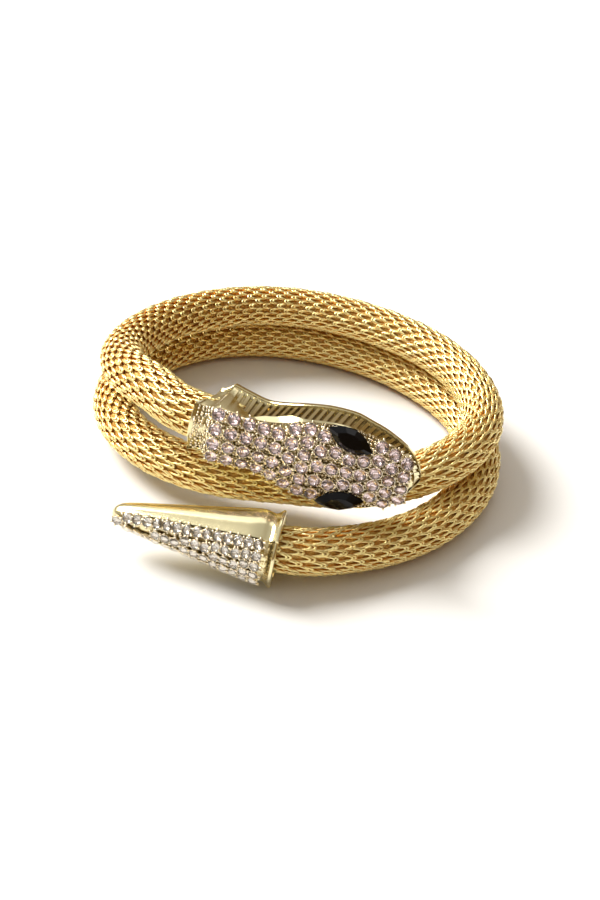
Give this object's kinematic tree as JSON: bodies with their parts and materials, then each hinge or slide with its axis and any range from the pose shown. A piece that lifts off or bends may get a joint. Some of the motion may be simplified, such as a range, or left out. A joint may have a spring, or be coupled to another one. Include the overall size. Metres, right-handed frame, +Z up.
{
  "type": "snake bracelet",
  "caption": "Coiled wrap bracelet of woven gold-coloured tube with a stone-set snake's head and a pointed stone-set tail.",
  "frame": {"origin": "middle of the wrist opening, on the surface that the bracelet lies on", "axes": "+Z up, out of the surface and along the wrist; -Y towards the head and the tail; +X towards the head's nose"},
  "size_m": [0.0825, 0.0889, 0.0273],
  "materials": {
    "woven_brass": "bright plated wire",
    "cast_brass": "polished pale gold plate",
    "pale_crystal": "faceted pale pink crystal",
    "clear_crystal": "faceted clear crystal",
    "black_glass": "faceted glossy black"
  },
  "bodies": {
    "root": {"mesh_tube": "woven_brass", "head_casting": "cast_brass", "head_stones": "pale_crystal", "eye_upper": "black_glass", "eye_lower": "black_glass", "tail_casting": "cast_brass", "tail_stones": "clear_crystal"}
  },
  "joints": []
}
